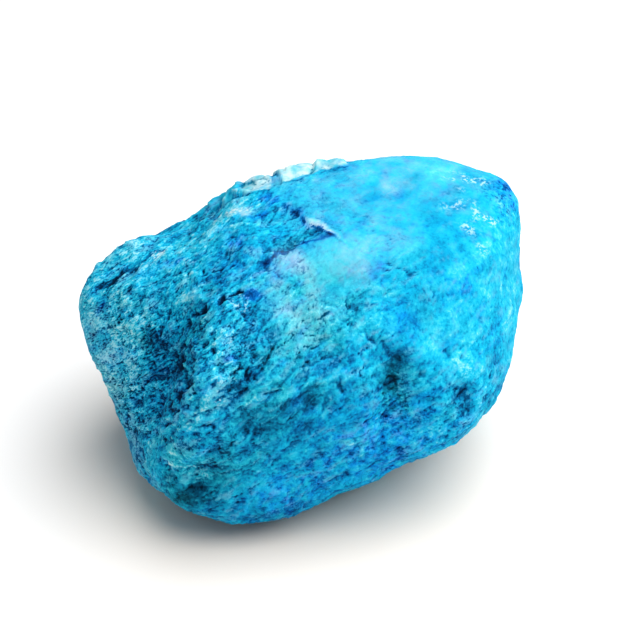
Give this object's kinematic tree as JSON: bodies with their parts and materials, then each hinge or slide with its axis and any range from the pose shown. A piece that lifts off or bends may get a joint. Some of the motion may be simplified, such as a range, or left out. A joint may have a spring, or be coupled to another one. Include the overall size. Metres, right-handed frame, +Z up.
{
  "type": "raw howlite stone",
  "caption": "Palm-sized broken lump of raw howlite, dyed blue, with worn edges, a deep cleft and small pits, lying on a flat worn spot.",
  "frame": {"origin": "centre of the bounding box in X and Y, at the height of the surface that the stone lies on", "axes": "+X along the stone's long way, +Z up, and the front, with the cleft on its left, looks along -Y"},
  "size_m": [0.05, 0.0398, 0.0353],
  "materials": {
    "dyed_howlite": "matt, dyed turquoise blue, deeper blue in the cleft and pits, paler on the rubbed top"
  },
  "bodies": {
    "root": {"howlite_stone": "dyed_howlite"}
  },
  "joints": []
}
